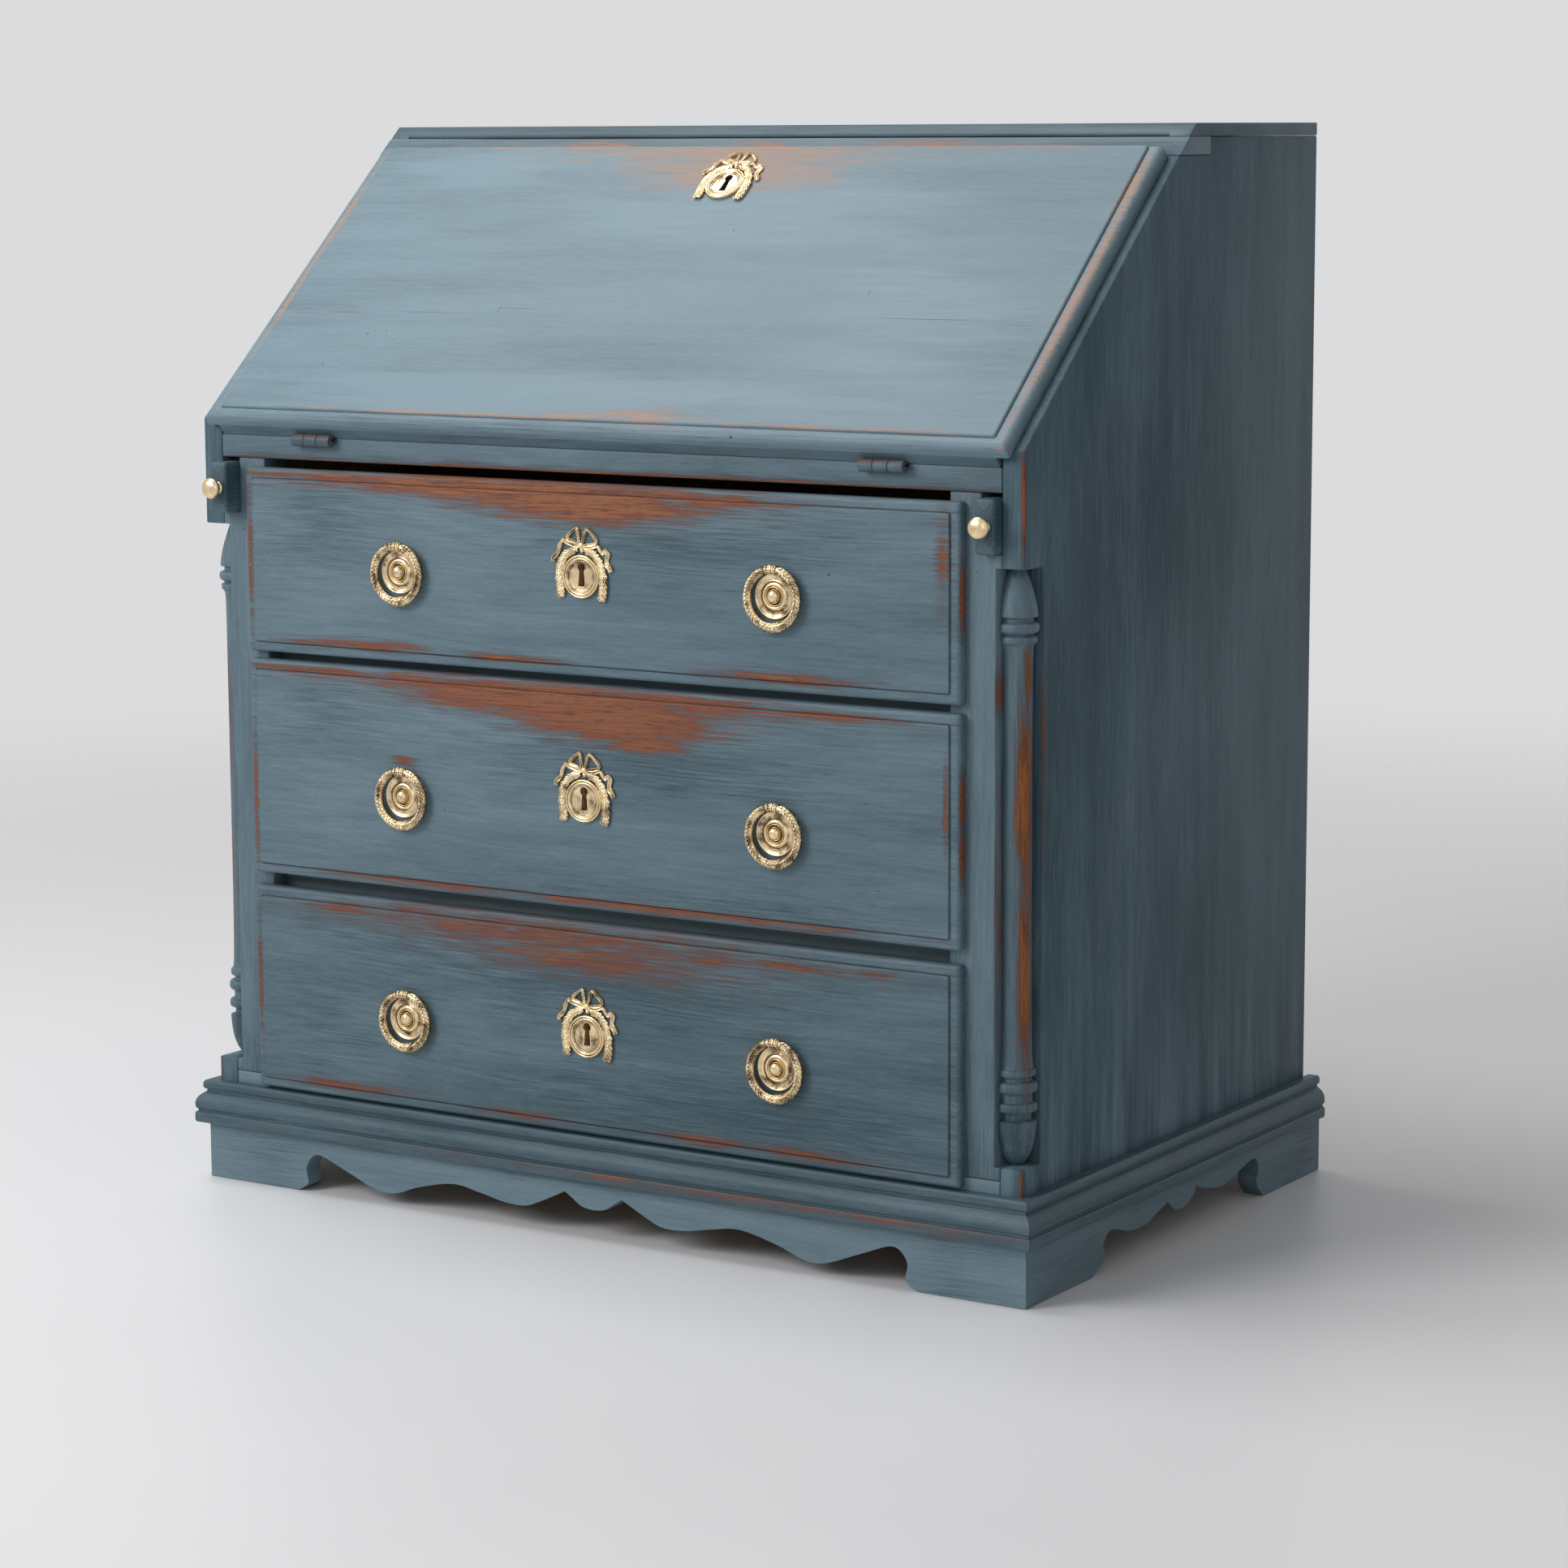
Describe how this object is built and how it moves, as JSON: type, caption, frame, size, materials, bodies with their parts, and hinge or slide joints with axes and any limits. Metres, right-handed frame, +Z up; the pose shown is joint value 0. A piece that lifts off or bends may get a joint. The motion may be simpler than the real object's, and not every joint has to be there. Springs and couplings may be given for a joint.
{
  "type": "slant-front writing desk",
  "caption": "Painted slant-front writing desk: hinged fall front on pull-out lopers over lipped drawers, turned corner columns, brass ring pulls and escutcheons.",
  "frame": {"origin": "on the floor, under the centre of the bounding box", "axes": "+Z up, -Y towards the front, +X to the right as seen from the front"},
  "size_m": [0.9368, 0.6165, 1.0184],
  "materials": {
    "blue_paint": "brushed slate-blue paint over pine, rubbed through on the edges",
    "bare_pine": "bare old pine inside the case and the drawers",
    "brass": "cast brass, lightly tarnished",
    "iron": "dark iron locks and bolts",
    "painted_iron": "iron hinges painted over with the case"
  },
  "bodies": {
    "root": {"side_panel_left": "blue_paint", "side_panel_right": "blue_paint", "top_board": "blue_paint", "slope_rail": "blue_paint", "desk_board": "blue_paint", "corner_post_left": "blue_paint", "corner_post_right": "blue_paint", "column_left": "blue_paint", "column_right": "blue_paint", "apron_front": "blue_paint", "apron_left": "blue_paint", "apron_right": "blue_paint", "moulding_front": "blue_paint", "moulding_left": "blue_paint", "moulding_right": "blue_paint", "dust_frame_upper": "bare_pine", "dust_frame_lower": "bare_pine", "bottom_board": "bare_pine", "back_panel": "bare_pine", "base_back_rail": "bare_pine", "pigeonholes": "bare_pine", "hinge_desk_leaf_left": "painted_iron", "hinge_desk_leaf_right": "painted_iron"},
    "fall": {"fall_front": "blue_paint", "fall_escutcheon": "brass", "fall_lock": "iron", "hinge_fall_leaf_left": "painted_iron", "hinge_fall_leaf_right": "painted_iron"},
    "fall_bolt": {"fall_bolt": "iron"},
    "drawer_top": {"drawer_top_front": "blue_paint", "drawer_top_box": "bare_pine", "drawer_top_escutcheon": "brass", "drawer_top_lock": "iron", "rosette_top_left": "brass", "rosette_top_right": "brass"},
    "drawer_top_bolt": {"drawer_top_bolt": "iron"},
    "ring_top_left": {"ring_top_left": "brass"},
    "ring_top_right": {"ring_top_right": "brass"},
    "drawer_middle": {"drawer_middle_front": "blue_paint", "drawer_middle_box": "bare_pine", "drawer_middle_escutcheon": "brass", "drawer_middle_lock": "iron", "rosette_middle_left": "brass", "rosette_middle_right": "brass"},
    "drawer_middle_bolt": {"drawer_middle_bolt": "iron"},
    "ring_middle_left": {"ring_middle_left": "brass"},
    "ring_middle_right": {"ring_middle_right": "brass"},
    "drawer_bottom": {"drawer_bottom_front": "blue_paint", "drawer_bottom_box": "bare_pine", "drawer_bottom_escutcheon": "brass", "drawer_bottom_lock": "iron", "rosette_bottom_left": "brass", "rosette_bottom_right": "brass"},
    "drawer_bottom_bolt": {"drawer_bottom_bolt": "iron"},
    "ring_bottom_left": {"ring_bottom_left": "brass"},
    "ring_bottom_right": {"ring_bottom_right": "brass"},
    "loper_left": {"loper_left": "blue_paint", "loper_knob_left": "brass"},
    "loper_right": {"loper_right": "blue_paint", "loper_knob_right": "brass"}
  },
  "joints": [
    {"name": "fall_hinge", "type": "hinge", "parent": "root", "child": "fall", "pos_m": [0, -0.2791, 0.7274], "axis": [1, 0, 0], "range_deg": [0, 138.78]},
    {"name": "fall_bolt_slide", "type": "slide", "parent": "fall", "child": "fall_bolt", "axis": [0, 0.7522, 0.6589], "range_m": [0, 0.012]},
    {"name": "drawer_top_slide", "type": "slide", "parent": "root", "child": "drawer_top", "axis": [0, -1, 0], "range_m": [0, 0.43]},
    {"name": "drawer_top_bolt_slide", "type": "slide", "parent": "drawer_top", "child": "drawer_top_bolt", "axis": [0, 0, 1], "range_m": [0, 0.016]},
    {"name": "ring_top_left_swing", "type": "hinge", "parent": "drawer_top", "child": "ring_top_left", "pos_m": [-0.207, -0.2913, 0.6334], "axis": [-1, 0, 0], "range_deg": [0, 100]},
    {"name": "ring_top_right_swing", "type": "hinge", "parent": "drawer_top", "child": "ring_top_right", "pos_m": [0.207, -0.2913, 0.6334], "axis": [-1, 0, 0], "range_deg": [0, 100]},
    {"name": "drawer_middle_slide", "type": "slide", "parent": "root", "child": "drawer_middle", "axis": [0, -1, 0], "range_m": [0, 0.43]},
    {"name": "drawer_middle_bolt_slide", "type": "slide", "parent": "drawer_middle", "child": "drawer_middle_bolt", "axis": [0, 0, 1], "range_m": [0, 0.012]},
    {"name": "ring_middle_left_swing", "type": "hinge", "parent": "drawer_middle", "child": "ring_middle_left", "pos_m": [-0.207, -0.2913, 0.4224], "axis": [-1, 0, 0], "range_deg": [0, 100]},
    {"name": "ring_middle_right_swing", "type": "hinge", "parent": "drawer_middle", "child": "ring_middle_right", "pos_m": [0.207, -0.2913, 0.4224], "axis": [-1, 0, 0], "range_deg": [0, 100]},
    {"name": "drawer_bottom_slide", "type": "slide", "parent": "root", "child": "drawer_bottom", "axis": [0, -1, 0], "range_m": [0, 0.43]},
    {"name": "drawer_bottom_bolt_slide", "type": "slide", "parent": "drawer_bottom", "child": "drawer_bottom_bolt", "axis": [0, 0, 1], "range_m": [0, 0.012]},
    {"name": "ring_bottom_left_swing", "type": "hinge", "parent": "drawer_bottom", "child": "ring_bottom_left", "pos_m": [-0.207, -0.2913, 0.2099], "axis": [-1, 0, 0], "range_deg": [0, 100]},
    {"name": "ring_bottom_right_swing", "type": "hinge", "parent": "drawer_bottom", "child": "ring_bottom_right", "pos_m": [0.207, -0.2913, 0.2099], "axis": [-1, 0, 0], "range_deg": [0, 100]},
    {"name": "loper_left_slide", "type": "slide", "parent": "root", "child": "loper_left", "axis": [0, -1, 0], "range_m": [-0.02, 0.24]},
    {"name": "loper_right_slide", "type": "slide", "parent": "root", "child": "loper_right", "axis": [0, -1, 0], "range_m": [-0.013, 0.247]}
  ]
}
